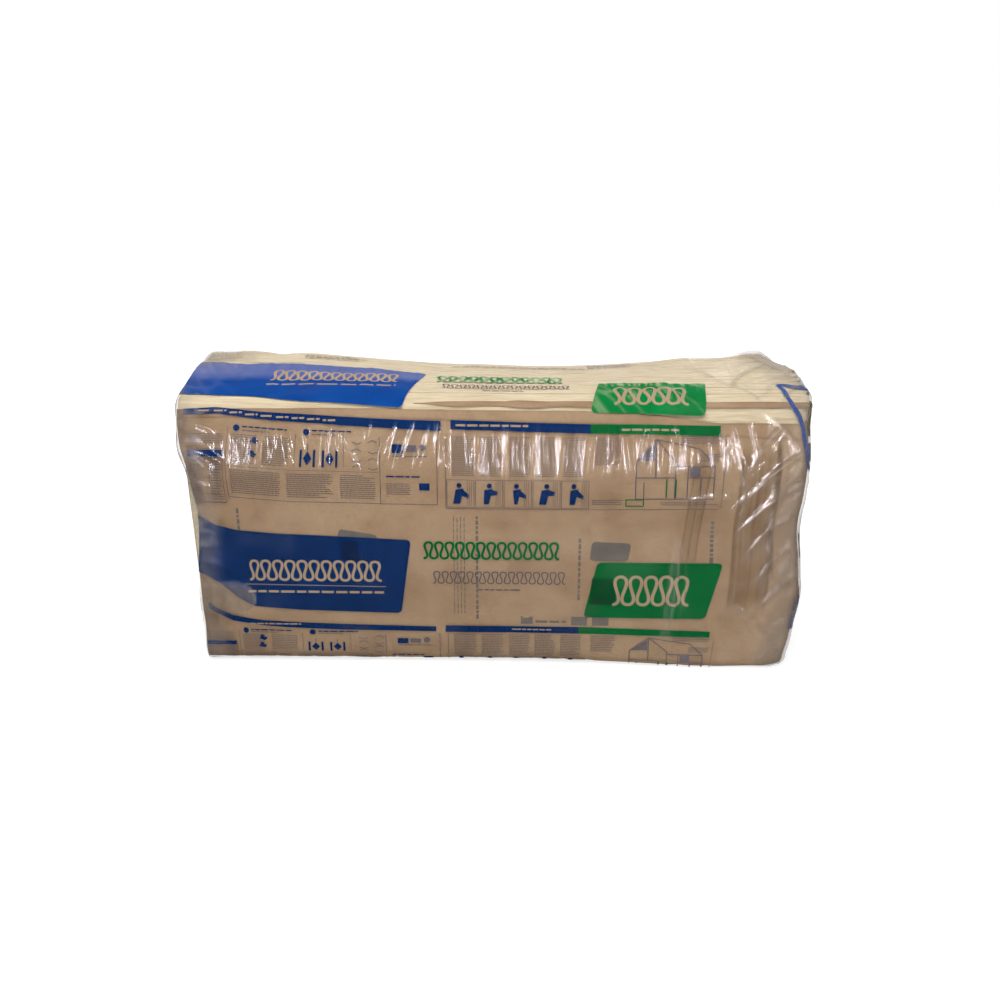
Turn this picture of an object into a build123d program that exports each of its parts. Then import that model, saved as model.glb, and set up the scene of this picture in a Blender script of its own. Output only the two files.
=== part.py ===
"""A bale of kraft-faced glass-wool batts, folded in half, stacked and packed in a printed film bag.

Millimetres. +X runs along the bale, +Y from the face with the print to the back, +Z is up.
The origin is the centre of the underside, and the bale stands on a long narrow side.
"""

from build123d import *
from math import cos, exp, radians, sin, sqrt, tan
import os

# The bag, measured over its film
bag_length = 1220.0
bag_depth = 386.0
bag_height = 570.0
film = 1.0
side_crown = 9.0
top_crown = 7.0
top_radius = 40.0
bottom_radius = 34.0
fold_end_radius = 12.0
cut_end_radius = 8.0

# The gusset fold and the heat-sealed fin that close each end
flap = 1.0
flap_inset = 26.0
flap_slant = 20.0
seal = 1.2
seal_width = 32.0

# The batts, as the bag holds them pressed
batt_count = 9
leg = 18.9
slit = 0.6
facing = 0.8
tab = 0.8
tab_width = 28.0
glue_gap = 0.3
batt_gap = 0.3
bag_clearance = 0.4
cut_end_slack = 15.0
fold_end_slack = 20.0
stagger = 5.0
stagger_pattern = [0.0, -0.7, 0.3, -1.0, -0.3, 0.4, -0.8, -0.2, 0.1]

# How far round the bag's rounded corners the outermost batt reaches, in degrees
corner_reach = 45.0
corner_steps = 1
side_steps = 3
ease = 4.0
step = 0.5

reach = bag_length / 2 - flap - seal
pack_inset = film + bag_clearance
pack_reach = reach - pack_inset
folded_length = 2 * pack_reach - cut_end_slack - fold_end_slack
layers = 2 * (leg + glue_gap + facing + tab) + slit
natural_half = (batt_count * layers + (batt_count - 1) * batt_gap) / 2


def bag_section(inset):
    """The bag across its length, drawn inset from the film's outside."""
    half = bag_depth / 2 - inset
    edge = half - side_crown
    middle = bag_height / 2
    shoulder = bag_height - top_crown - inset
    outline = Wire(
        [
            Edge.make_line((-edge, inset), (edge, inset)),
            Edge.make_three_point_arc((edge, inset), (half, middle), (edge, shoulder)),
            Edge.make_three_point_arc((edge, shoulder), (0, bag_height - inset), (-edge, shoulder)),
            Edge.make_three_point_arc((-edge, shoulder), (-half, middle), (-edge, inset)),
        ]
    )
    face = Face(outline)
    face = face.fillet_2d(bottom_radius - inset, [v for v in face.vertices() if v.Y < middle])
    return face.fillet_2d(top_radius - inset, [v for v in face.vertices() if v.Y > shoulder - 1])


def bag_form(inset):
    """The solid that fills the bag, inset from the film's outside."""
    body = extrude(Plane.YZ * bag_section(inset), reach - inset, both=True)
    body = fillet(body.faces().sort_by(Axis.X)[-1].edges(), fold_end_radius - inset)
    return fillet(body.faces().sort_by(Axis.X)[0].edges(), cut_end_radius - inset)


def end_patch(thickness, half_width, inner_margin, outer_margin):
    """Film laid flat on both ends of the bag, narrower towards its middle line."""
    top = bag_height - top_crown
    shape = Face(
        Wire.make_polygon(
            [
                (-half_width, outer_margin),
                (0, inner_margin),
                (half_width, outer_margin),
                (half_width, top - outer_margin),
                (0, top - inner_margin),
                (-half_width, top - outer_margin),
            ]
        )
    )
    return extrude(Plane.YZ * shape, reach + thickness, both=True)


def half_depth(z):
    """Half the pack's depth at height z, following the inside of the bag to its corners."""
    half = bag_depth / 2 - pack_inset
    low, high = pack_inset, bag_height - top_crown - pack_inset
    middle = bag_height / 2
    edge = half - side_crown

    def bowed(edge_z):
        rise = abs(middle - edge_z)
        radius = (rise**2 + side_crown**2) / (2 * side_crown)
        return lambda at: half - radius + sqrt(radius**2 - (at - middle) ** 2)

    side = bowed(low if z < middle else high)
    corner = (bottom_radius if z < middle else top_radius) - pack_inset
    inward = (low + corner - z) if z < middle else (z - high + corner)
    if inward <= 0:
        return side(z)
    turned = corner * sin(radians(corner_reach))
    start = side(low + corner if z < middle else high - corner)
    if inward <= turned:
        return start - corner + sqrt(corner**2 - inward**2)
    at_reach = start - corner + corner * cos(radians(corner_reach))
    slope = tan(radians(corner_reach))
    return at_reach - ease * slope * (1 - exp(-(inward - turned) / ease))


def station_heights():
    """The heights at which the batts' plans are drawn."""
    heights = []
    low, high = pack_inset, bag_height - top_crown - pack_inset
    for corner, base, sign in (
        (bottom_radius - pack_inset, low + bottom_radius - pack_inset, -1),
        (top_radius - pack_inset, high - top_radius + pack_inset, 1),
    ):
        turned = [corner * sin(radians(corner_reach) * n / corner_steps) for n in range(corner_steps + 1)]
        heights += [base + sign * depth for depth in turned + [turned[-1] + ease]]
    start, end = low + bottom_radius - pack_inset, high - top_radius + pack_inset
    heights += [start + (end - start) * n / side_steps for n in range(1, side_steps)]
    return sorted(heights + [0, bag_height])


def pressed(z):
    """The half depth at height z, straight between the heights at which plans are drawn."""
    heights = station_heights()
    before = max(height for height in heights if height <= z)
    after = min(height for height in heights if height > z)
    along = (z - before) / (after - before)
    return half_depth(before) * (1 - along) + half_depth(after) * along


def hairpin(left, centre_x, y, outer, inner, scale):
    """A folded strip's plan between two half-widths about its middle line.

    The outside of the fold is round. Its inside is round too, or a point where the legs lie close.
    """
    y, outer, inner = y * scale, outer * scale, inner * scale
    inner_tip = (centre_x + inner, y)
    if inner > slit:
        inside = [Edge.make_three_point_arc((centre_x, y + inner), inner_tip, (centre_x, y - inner))]
    else:
        inside = [
            Edge.make_line((centre_x, y + inner), inner_tip),
            Edge.make_line(inner_tip, (centre_x, y - inner)),
        ]
    return Wire(
        [
            Edge.make_line((left, y - outer), (centre_x, y - outer)),
            Edge.make_three_point_arc((centre_x, y - outer), (centre_x + outer, y), (centre_x, y + outer)),
            Edge.make_line((centre_x, y + outer), (left, y + outer)),
            Edge.make_line((left, y + outer), (left, y + inner)),
            Edge.make_line((left, y + inner), (centre_x, y + inner)),
            *inside,
            Edge.make_line((centre_x, y - inner), (left, y - inner)),
            Edge.make_line((left, y - inner), (left, y - outer)),
        ]
    )


def folded_strip(left, centre_x, y, inner, outer_levels):
    """The strip's solid, pressed with the rest of the pack at every height.

    outer_levels lists heights with the strip's outer half-width there, which is straight between them.
    """
    low, high = outer_levels[0][0], outer_levels[-1][0]
    heights = [level for level, outer in outer_levels]
    heights += [z for z in station_heights() if low < z < high and all(abs(z - level) > step for level in heights)]
    sections = []
    for z in sorted(heights):
        before = max(pair for pair in outer_levels if pair[0] <= z)
        after = min(pair for pair in outer_levels if pair[0] >= z)
        along = (z - before[0]) / (after[0] - before[0]) if after[0] > before[0] else 0
        outer = before[1] + along * (after[1] - before[1])
        plan = hairpin(left, centre_x, y, outer, inner, pressed(z) / natural_half)
        sections.append(plan.moved(Location((0, 0, z))))
    return Solid.make_loft(sections, ruled=True)


def top_edge(y):
    """The height of the pack's upper side at a distance from its middle."""
    corner = top_radius - pack_inset
    height = bag_height - pack_inset - top_crown * (y / (bag_depth / 2 - side_crown)) ** 2
    inward = abs(y) - (bag_depth / 2 - pack_inset - side_crown - corner)
    return height - (corner - sqrt(corner**2 - inward**2) if inward > 0 else 0)


def bottom_edge(y):
    """The height of the pack's underside at a distance from its middle."""
    corner = bottom_radius - pack_inset
    inward = abs(y) - (bag_depth / 2 - pack_inset - side_crown - corner)
    return pack_inset + (corner - sqrt(corner**2 - inward**2) if inward > 0 else 0)


def save(shape, name):
    """Write one piece as a single solid."""
    solids = shape.solids()
    assert len(solids) == 1 and solids[0].is_valid, name
    export_step(solids[0], f"parts/{name}.step")


os.makedirs("parts", exist_ok=True)

# The film: one closed skin, with the folds and the sealed fin on its ends
half_flap = bag_depth / 2 - flap_inset
film_bag = bag_form(0)
film_bag += end_patch(flap, half_flap, flap_inset + flap_slant, flap_inset)
film_bag += end_patch(flap + seal, seal_width / 2, flap_inset + flap_slant, flap_inset + flap_slant)
film_bag -= bag_form(film)
save(film_bag, "film_bag")

# The batts: a folded blanket of wool, and a sheet of kraft paper glued round its outside
wool_outer = slit / 2 + leg
facing_inner = wool_outer + glue_gap
facing_outer = facing_inner + facing
turned = sin(radians(corner_reach))
highest = top_edge(0) - top_crown - (top_radius - pack_inset) * (1 - turned)
lowest = bottom_edge(0) + (bottom_radius - pack_inset) * (1 - turned)

for n in range(batt_count):
    middle_y = (n - (batt_count - 1) / 2) * (layers + batt_gap)
    left = -pack_reach + cut_end_slack + stagger * stagger_pattern[n % len(stagger_pattern)]
    centre_x = left + folded_length - layers / 2
    share = (abs(middle_y) + layers / 2) / natural_half
    low = bottom_edge(share * pressed(lowest))
    high = top_edge(share * pressed(highest))

    wool = folded_strip(left, centre_x, middle_y, slit / 2, [(low, wool_outer), (high, wool_outer)])
    save(wool, f"glass_wool_{n + 1}")

    # The facing's two long edges are folded back as stapling flanges, so they are thicker
    flanged = facing_outer + tab
    levels = [
        (low, flanged),
        (low + tab_width, flanged),
        (low + tab_width + step, facing_outer),
        (high - tab_width - step, facing_outer),
        (high - tab_width, flanged),
        (high, flanged),
    ]
    save(folded_strip(left, centre_x, middle_y, facing_inner, levels), f"kraft_facing_{n + 1}")
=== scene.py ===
"""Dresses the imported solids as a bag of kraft-faced batts: wool, paper, film and print, then floor and lights."""

import math

import bpy
import numpy as np
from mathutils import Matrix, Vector


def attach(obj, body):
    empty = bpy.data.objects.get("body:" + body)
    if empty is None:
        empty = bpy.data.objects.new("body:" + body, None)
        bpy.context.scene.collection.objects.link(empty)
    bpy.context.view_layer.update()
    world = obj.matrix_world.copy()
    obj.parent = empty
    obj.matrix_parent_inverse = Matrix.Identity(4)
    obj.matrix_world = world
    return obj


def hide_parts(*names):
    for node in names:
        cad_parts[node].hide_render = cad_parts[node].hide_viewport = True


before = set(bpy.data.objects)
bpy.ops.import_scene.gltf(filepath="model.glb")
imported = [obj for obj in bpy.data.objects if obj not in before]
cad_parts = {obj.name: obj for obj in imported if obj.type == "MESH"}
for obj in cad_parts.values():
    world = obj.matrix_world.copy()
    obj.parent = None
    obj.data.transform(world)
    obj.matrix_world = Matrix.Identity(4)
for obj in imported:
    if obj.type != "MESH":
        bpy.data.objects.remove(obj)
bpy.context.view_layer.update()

# ---------------------------------------------------------------- sizes, in mm
HALF_L = 610.0
HALF_D = 193.0
HEIGHT = 570.0
SIDE_CROWN = 9.0
TOP_CROWN = 7.0
FOOT_ROUNDING, TOP_ROUNDING = 22, 27
BATTS = 9


# ---------------------------------------------------------------- noise
def lattice(ix, iy, seed):
    h = (ix.astype(np.int64) * 374761393 + iy.astype(np.int64) * 668265263 + seed * 1442695041) & 0xFFFFFFFF
    h = ((h ^ (h >> 13)) * 1274126177) & 0xFFFFFFFF
    return ((h ^ (h >> 16)) & 0xFFFF) / 32767.5 - 1.0


def noise(x, y, seed=0):
    """Smooth value noise from -1 to 1, one feature per unit."""
    x, y = np.broadcast_arrays(np.asarray(x, float), np.asarray(y, float))
    ix, iy = np.floor(x), np.floor(y)
    fx, fy = x - ix, y - iy
    fx, fy = fx * fx * (3 - 2 * fx), fy * fy * (3 - 2 * fy)
    a, b = lattice(ix, iy, seed), lattice(ix + 1, iy, seed)
    c, d = lattice(ix, iy + 1, seed), lattice(ix + 1, iy + 1, seed)
    return (a * (1 - fx) + b * fx) * (1 - fy) + (c * (1 - fx) + d * fx) * fy


def fbm(x, y, seed=0, octaves=3):
    total, size = 0.0, 1.0
    for n in range(octaves):
        total = total + size * noise(x * 2**n, y * 2**n, seed + 17 * n)
        size *= 0.5
    return total


def ridge(x, y, seed=0, sharp=3.0):
    """Thin raised creases where the noise crosses zero, from 0 to 1."""
    return np.clip(1 - sharp * np.abs(noise(x, y, seed)), 0, 1) ** 1.5


def smooth(a, b, t):
    t = np.clip((t - a) / (b - a), 0, 1)
    return t * t * (3 - 2 * t)


def band(a, b, c, d, t):
    """Rises from 0 to 1 between a and b, and falls back between c and d."""
    return smooth(a, b, t) * (1 - smooth(c, d, t))


def bump(centre, width, t):
    return np.exp(-(((t - centre) / width) ** 2))


def bumps(t, *rows):
    """The sum of bumps, each given by its height, centre and width."""
    return sum(high * bump(centre, width, t) for high, centre, width in rows)


# ---------------------------------------------------------------- the bag's section
def section():
    """The bag's outline across its length as (y, z, normal y, normal z), by its girth from the front bottom corner."""
    edge, shoulder, mid = HALF_D - SIDE_CROWN, HEIGHT - TOP_CROWN, (HEIGHT - TOP_CROWN) / 2
    z = np.linspace(0, shoulder, 600)
    side = edge + SIDE_CROWN * (1 - ((z - mid) / mid) ** 2)
    y = np.linspace(-edge, edge, 420)
    top = shoulder + TOP_CROWN * (1 - (y / edge) ** 2)
    yy = np.concatenate([-side, y[1:-1], side[::-1], -y[1:-1]])
    zz = np.concatenate([z, top[1:-1], z[::-1], 0 * y[1:-1]])
    step = np.hypot(np.diff(np.append(yy, yy[0])), np.diff(np.append(zz, zz[0])))
    girth = np.concatenate([[0], np.cumsum(step)])
    count = 3760
    at = np.linspace(0, girth[-1], count, endpoint=False)
    yy = np.interp(at, girth, np.append(yy, yy[0]))
    zz = np.interp(at, girth, np.append(zz, zz[0]))
    freq = np.fft.rfftfreq(count, girth[-1] / count)

    def soft(values, sigma):
        """Rounds the corners off the outline."""
        return np.fft.irfft(np.fft.rfft(values) * np.exp(-2 * (math.pi * freq * sigma) ** 2), count)

    weight = np.clip((zz - 120) / (HEIGHT - 240), 0, 1)
    ys, zs = (soft(v, FOOT_ROUNDING) * (1 - weight) + soft(v, TOP_ROUNDING) * weight for v in (yy, zz))
    ty, tz = np.gradient(ys), np.gradient(zs)
    size = np.hypot(ty, tz)
    return at, ys, zs, -tz / size, ty / size, girth[-1]


P_AT, P_Y, P_Z, P_NY, P_NZ, GIRTH = section()


def around(p):
    """The section's point and outward normal at girth p."""
    p = np.asarray(p, float) % GIRTH
    at = np.append(P_AT, GIRTH)
    return [np.interp(p, at, np.append(v, v[0])) for v in (P_Y, P_Z, P_NY, P_NZ)]


def corner_girth(y_sign, z_sign):
    """Girth where the outward normal points 45 degrees between two faces."""
    return float(P_AT[np.argmax(y_sign * P_NY + z_sign * P_NZ)])


P_FT, P_BT, P_BB, P_FB = corner_girth(-1, 1), corner_girth(1, 1), corner_girth(1, -1), corner_girth(-1, -1)

# The pack's half depth by height and its top and bottom by depth, inside the film
Z_HIGH, Y_HIGH = float(np.interp(P_FT, P_AT, P_Z)), float(-np.interp(P_FT, P_AT, P_Y))
Z_LOW, Y_LOW = float(around(P_FB)[1]), float(-around(P_FB)[0])


def ordered(mask, key, value):
    """Two coordinates of the section where mask holds, in the order of the first."""
    order = np.argsort(key[mask])
    return key[mask][order], value[mask][order]


Y_TOP, Z_TOP = ordered((P_AT > P_FT - 40) & (P_AT < P_BT + 40) & (P_NZ > 0.2), P_Y, P_Z)
Y_BOT, Z_BOT = ordered(P_NZ < -0.2, P_Y, P_Z)
Z_SIDE, Y_SIDE = ordered((P_NY < -0.2) & (np.abs(P_NZ) < 0.8), P_Z, -P_Y)


def half_depth(z):
    return np.interp(np.clip(z, Z_LOW, Z_HIGH), Z_SIDE, Y_SIDE)


def pack_point(x, f, zeta, inset):
    """A point in the pack by its share of the half depth and of the height."""
    top = np.interp(f * Y_HIGH, Y_TOP, Z_TOP) - inset
    bottom = np.interp(f * Y_LOW, Y_BOT, Z_BOT) + inset
    z = bottom + zeta * (top - bottom)
    return x, f * (half_depth(z) - inset), z


# ---------------------------------------------------------------- slow shape that film, print and batts share
def settle(x, y, z):
    """Moves a point with the slack bag as a whole."""
    x, y, z = np.broadcast_arrays(x, y, z)
    wide, side = np.abs(y), np.sign(y)
    # up and down: the top sags in the middle and humps towards its back edge
    backwards = smooth(-150, 190, y)
    sag = 21 * bump(90, 320, x) * (0.2 + 0.8 * backwards)
    rise = (2 * smooth(380, 520, x) + 9 * smooth(120, 500, -x)) * backwards
    rise = rise - 19 * smooth(556, 600, x) * smooth(20, 180, y)
    lumps = 2.5 * fbm(x / 210, y / 160, 5, 2) * smooth(350, 560, z)
    humps = bumps(x, (9, 546, 34), (5, 398, 40), (4, -525, 34), (-3.5, -458, 16), (2.5, -390, 40))
    z2 = z + smooth(60, 560, z) * (rise - sag) + lumps + humps * smooth(60, 178, y) * smooth(480, 562, z)
    # back and forth: slow waves, and the front leans in towards the right and at its top
    waves = 2.2 * fbm(x / 240, z / 190, 9, 2) * smooth(20, 90, z) * smooth(100, 180, wide) * side
    front = smooth(0, 150, -y)
    slope = (13 * smooth(400, 575, z) ** 1.3 - 15 * smooth(20, 480, x) * bump(0, 200, z)) * front
    crumple = 2.6 * fbm(x / 30, z / 36, 8, 2) * smooth(500, 590, x) * smooth(40, 120, z) * side * smooth(60, 150, wide)
    # left and right: the two ends are uneven by height
    left = bumps(z, (2, 450, 50), (-7, 430, 40), (-10, 320, 90)) - 19 * (1 - smooth(330, 470, z))
    right = bumps(z, (6, 430, 130), (6, 190, 110), (-8, 10, 40), (-5, 300, 40))
    knobs = 4 * fbm(z / 85, y / 62, 6, 2) + bumps(z, (4, 455, 60), (5, 168, 60), (8, 566, 40), (-4, 330, 40))
    dents = 2.2 * noise(z / 90, 0.3, 7) + 0.8 * noise(z / 40, y / 60, 8)
    x2 = x - smooth(450, 606, -x) * left + smooth(330, 600, x) * right
    x2 = x2 + knobs * smooth(500, 606, x) - dents * smooth(520, 606, -x)
    # the rounded corner along the foot of the front
    corner = (8 * smooth(60, 420, x) + 4 * bump(430, 90, x)) * (1 - smooth(560, 606, x))
    corner = corner * bump(-193, 26, y) * bump(0, 24, z)
    return x2, y + waves + slope - corner + crumple, np.maximum(z2 - corner, 0.2 + 0.12 * np.clip(z, -1, 12))


def to_world(x, y, z):
    return np.stack(settle(x, y, z), -1) * 0.001


# ---------------------------------------------------------------- meshes
def make_mesh(name, points, faces, material, crease=0):
    """A mesh of triangles or quads in metres, shaded smooth except past an angle of crease degrees."""
    mesh = bpy.data.meshes.new(name)
    points = np.asarray(points, np.float32).reshape(-1, 3)
    faces = np.asarray(faces, np.int32)
    count, corners = faces.shape
    mesh.vertices.add(len(points))
    mesh.vertices.foreach_set("co", points.ravel())
    mesh.loops.add(count * corners)
    mesh.loops.foreach_set("vertex_index", faces.ravel())
    mesh.polygons.add(count)
    mesh.polygons.foreach_set("loop_start", np.arange(0, count * corners, corners, dtype=np.int32))
    mesh.polygons.foreach_set("loop_total", np.full(count, corners, np.int32))
    mesh.update(calc_edges=True)
    mesh.validate()
    mesh.materials.append(material)
    mesh.polygons.foreach_set("use_smooth", np.ones(len(mesh.polygons), bool))
    if crease:
        mesh.set_sharp_from_angle(angle=math.radians(crease))
    obj = bpy.data.objects.new(name, mesh)
    bpy.context.scene.collection.objects.link(obj)
    return obj


def grid_faces(rows, columns, wrap=False):
    """The quads of a grid of points, closed round its columns if wrap."""
    i, j = np.meshgrid(np.arange(rows - 1), np.arange(columns if wrap else columns - 1), indexing="ij")
    i2, j2 = i + 1, (j + 1) % columns
    return np.stack([i * columns + j, i * columns + j2, i2 * columns + j2, i2 * columns + j], -1).reshape(-1, 4)


def set_attribute(obj, name, values):
    data = obj.data.attributes.new(name, "FLOAT", "POINT")
    data.data.foreach_set("value", np.ascontiguousarray(values, np.float32).ravel())


# ---------------------------------------------------------------- materials
def add(tree, kind, inputs=(), **settings):
    """A new shader node, with its settings, and each input linked to a socket or set to a value."""
    node = tree.nodes.new("ShaderNode" + kind)
    for key, value in settings.items():
        setattr(node, key, value)
    for key, value in dict(inputs).items():
        if isinstance(value, bpy.types.NodeSocket):
            tree.links.new(value, node.inputs[key])
        else:
            node.inputs[key].default_value = value
    return node


def calculate(tree, operation, *values, clamp=False):
    return add(tree, "Math", dict(enumerate(values)), operation=operation, use_clamp=clamp).outputs[0]


def map_range(tree, value, low, high, to_low, to_high):
    inputs = {"Value": value, "From Min": low, "From Max": high, "To Min": to_low, "To Max": to_high}
    return add(tree, "MapRange", inputs).outputs["Result"]


def ramp(tree, value, *stops):
    """The colour that goes with a value; a stop is a place and a colour or a level of grey."""
    node = add(tree, "ValToRGB", {"Fac": value})
    elements = node.color_ramp.elements
    while len(elements) > 1:
        elements.remove(elements[-1])
    for n, (place, tone) in enumerate(stops):
        element = elements.new(place) if n else elements[0]
        element.position, element.color = place, (*(tone if isinstance(tone, tuple) else (tone,) * 3), 1)
    return node.outputs["Color"]


def mixed(tree, factor, first, second, blend="MIX"):
    inputs = {"Factor": factor, "A": first, "B": second}
    return add(tree, "Mix", inputs, data_type="RGBA", blend_type=blend).outputs["Result"]


def multiply(tree, first, second):
    return mixed(tree, 1, first, second, "MULTIPLY")


def linear(r, g, b):
    return tuple((c / 255 / 12.92) if c / 255 <= 0.04045 else ((c / 255 + 0.055) / 1.055) ** 2.4 for c in (r, g, b))


def grain(tree, scale, detail=3.0, stretch=(1, 1, 1), rough=0.55, distortion=0.0):
    """A noise texture in the object's own space."""
    place = add(tree, "Mapping", {"Vector": add(tree, "TexCoord").outputs["Object"], "Scale": stretch})
    inputs = {"Vector": place.outputs["Vector"], "Scale": scale, "Detail": detail, "Roughness": rough}
    return add(tree, "TexNoise", inputs | {"Distortion": distortion}).outputs["Fac"]


def painted(tree, name):
    """The value that a mesh carries at its points under this name."""
    return add(tree, "Attribute", attribute_name=name).outputs["Fac"]


def relief(tree, height, strength, distance, before=None):
    inputs = {"Strength": strength, "Distance": distance, "Height": height}
    return add(tree, "Bump", inputs | ({"Normal": before} if before else {})).outputs["Normal"]


def new_material(name):
    material = bpy.data.materials.new(name)
    material.use_nodes = True
    material.node_tree.nodes.clear()
    return material, material.node_tree


def dull(material, colour, rough, normal, sheen=0.0):
    """Finishes a material with one shader without gloss."""
    tree = material.node_tree
    inputs = {"Base Color": colour, "Roughness": rough, "Normal": normal}
    shader = add(tree, "BsdfPrincipled", inputs | {"Specular IOR Level": 0, "Sheen Weight": sheen})
    add(tree, "OutputMaterial", {0: shader.outputs[0]})
    return material


def kraft_material():
    """Brown facing paper: cloudy tone, long fibres, and the darker bands painted on the mesh as shade."""
    material, tree = new_material("kraft_paper")
    cloud, fibre = grain(tree, 5.5, 5, (1, 1, 1.4), 0.6), grain(tree, 240, 3, (0.7, 1, 1))
    tone = ramp(tree, cloud, (0.3, linear(165, 135, 105)), (0.5, linear(178, 149, 119)), (0.72, linear(187, 159, 129)))
    flecks = ramp(tree, fibre, (0.33, (0.93, 0.92, 0.91)), (0.62, 1.03))
    shade = ramp(tree, painted(tree, "shade"), (0.0, 1), (1.0, (0.42, 0.37, 0.33)))
    return dull(material, multiply(tree, multiply(tree, tone, flecks), shade), 0.72, relief(tree, fibre, 0.25, 0.002))


def ink_material(name, light, dark, rough=0.34, pale=(0.3, 0.3, 0.3)):
    """Printed film: ink of uneven density, thinner along fine scuffs, paler where its mesh says so, for wear, painted
    sheen and painted glare.
    """
    material, tree = new_material(name)
    cloud, scuff = grain(tree, 14, 5, (1, 1, 1.8), 0.62), grain(tree, 85, 2, (0.25, 0.25, 1.6), 0.5, 0.8)
    tone = ramp(tree, cloud, (0.3, linear(*dark)), (0.7, linear(*light)))
    thin = ramp(tree, scuff, (0.6, 1), (0.85, (1.2, 1.16, 1.1)))
    colour = mixed(tree, painted(tree, "wear_and_sheen"), multiply(tree, tone, thin), (*pale, 1))
    return dull(material, colour, rough, relief(tree, scuff, 0.05, 0.001))


def wool_material():
    material, tree = new_material("glass_wool")
    streak = grain(tree, 90, 5, (0.12, 1.6, 1.6), 0.65)
    tones = (0.25, linear(194, 172, 138)), (0.5, linear(221, 203, 170)), (0.75, linear(236, 222, 194))
    return dull(material, ramp(tree, streak, *tones), 0.95, relief(tree, streak, 0.6, 0.004), 0.3)


def film_material():
    """Clear plastic film: mirror-like towards its edges, finely crinkled, milky where its mesh's haze value is set,
    with a tint that darkens into painted shade as that value rises.
    """
    material, tree = new_material("clear_film")
    milk_and_shade = painted(tree, "haze_and_shade")
    # The tint darkens as the haze value rises: painted shade of crumpled and creased film.
    tint = ramp(tree, milk_and_shade, (0.0, (0.92, 0.90, 0.88)), (0.1, (0.55, 0.51, 0.46)), (0.3, (0.40, 0.35, 0.29)),
                (0.55, (0.36, 0.31, 0.26)), (0.9, (0.13, 0.11, 0.1)))
    pulled = relief(tree, grain(tree, 55, 3, (1.0, 0.22, 0.22), 0.6, 0.5), 0.16, 0.004)
    gloss = add(tree, "BsdfPrincipled", {
        "Base Color": mixed(tree, painted(tree, "pale"), tint, (0.66, 0.64, 0.61, 1)),
        "Metallic": ramp(tree, milk_and_shade, (0.0, 0.85), (0.14, 0.06)),
        "Roughness": ramp(tree, milk_and_shade, (0.0, 0.1), (0.16, 0.42)),
        "Specular IOR Level": 0.25, "Normal": relief(tree, grain(tree, 150, 2), 0.06, 0.001, pulled),
    })
    edge = calculate(tree, "POWER", add(tree, "LayerWeight", {"Blend": 0.5}).outputs["Facing"], 10)
    shown = calculate(tree, "MULTIPLY_ADD", edge, 0.3, calculate(tree, "ADD", milk_and_shade, 0.008), clamp=True)
    film = add(tree, "MixShader", {0: shown, 1: add(tree, "BsdfTransparent").outputs[0], 2: gloss.outputs[0]})
    add(tree, "OutputMaterial", {0: film.outputs[0]})
    return material


KRAFT = kraft_material()
WOOL = wool_material()
FILM = film_material()
BLUE = ink_material("blue_ink", (6, 48, 104), (2, 38, 88), 0.34, linear(132, 134, 152))
# A lighter copy of the faces' blue ink: painted light on the top.
BLUE_LIT_TOP = ink_material("blue_ink_lit_top", (8, 74, 156), (3, 60, 138), 0.34, linear(150, 152, 190))
BLUE_DEEP = ink_material("blue_ink_over_print", (2, 32, 76), (1, 26, 66))
GREEN = ink_material("green_ink", (1, 112, 54), (0, 96, 44), 0.34, linear(140, 160, 130))
# A lighter copy of the faces' green ink: painted light on the top.
GREEN_LIT_TOP = ink_material("green_ink_lit_top", (8, 134, 66), (2, 116, 52), 0.34, linear(186, 200, 160))
GREEN_DEEP = ink_material("green_ink_over_print", (1, 78, 38), (0, 66, 30))
NAVY = ink_material("navy_ink", (112, 100, 104), (92, 82, 92))
GREY = ink_material("grey_ink", (128, 120, 112), (106, 99, 93), 0.6)
CREAM = ink_material("pale_ink", (186, 162, 134), (170, 146, 118))
PINK = ink_material("pink_ink", (196, 140, 132), (176, 120, 116))

# ---------------------------------------------------------------- the batts
# The film's gap round the pack, a batt's share of the half depth, that depth in mm, and a facing's share of its batt
FILM_GAP = 2.6
PITCH = 2.0 / BATTS
HALF_PACK = 190.0
PAPER_SHARE = 0.985
# The front sheet's share of the half depth, and its lower and upper edges by girth
FRONT_SHARE = -1 + PITCH / 2 * (1 - PAPER_SHARE)
SHEET_LOW, SHEET_HIGH = -26.0, 549.0
SHEET = SHEET_HIGH - SHEET_LOW


def fold_path(middle, half, left, tip, count, arc_count, second):
    """A folded strip's path in plan: x, share of the half depth, and its outward normal in x and share."""
    centre = tip - half * HALF_PACK
    there, back = np.linspace(left, centre, count), np.linspace(centre, left, second)
    turn = np.linspace(-math.pi / 2, math.pi / 2, arc_count)[1:-1]
    x = np.concatenate([there, centre + half * HALF_PACK * np.cos(turn), back])
    f = np.concatenate([np.full(count, middle - half), middle + half * np.sin(turn), np.full(second, middle + half)])
    nx = np.concatenate([np.zeros(count), np.cos(turn), np.zeros(second)])
    nf = np.concatenate([-np.ones(count), np.sin(turn), np.ones(second)])
    return x, f, nx, nf


def batt_places():
    """Each batt's middle, and where its cut edges and its fold lie along the bag."""
    places = []
    for n in range(BATTS):
        middle = -1 + PITCH * (n + 0.5)
        left = -605.5 + 1.2 * float(noise(n * 1.7, 0.3, 61))
        tip = 605.5 + 1.2 * float(noise(n * 1.3, 0.7, 62)) + 0.5 * (n == 0)
        places.append((middle, left, tip))
    return places


def cap_faces(rows, columns):
    """Closes both ends of a swept ring with strips across it."""
    caps = []
    for base, order in ((0, 1), ((rows - 1) * columns, -1)):
        for k in range(columns // 2 - 1):
            caps.append((base + k, base + k + 1, base + columns - 2 - k, base + columns - 1 - k)[::order])
    return np.array(caps)


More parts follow.
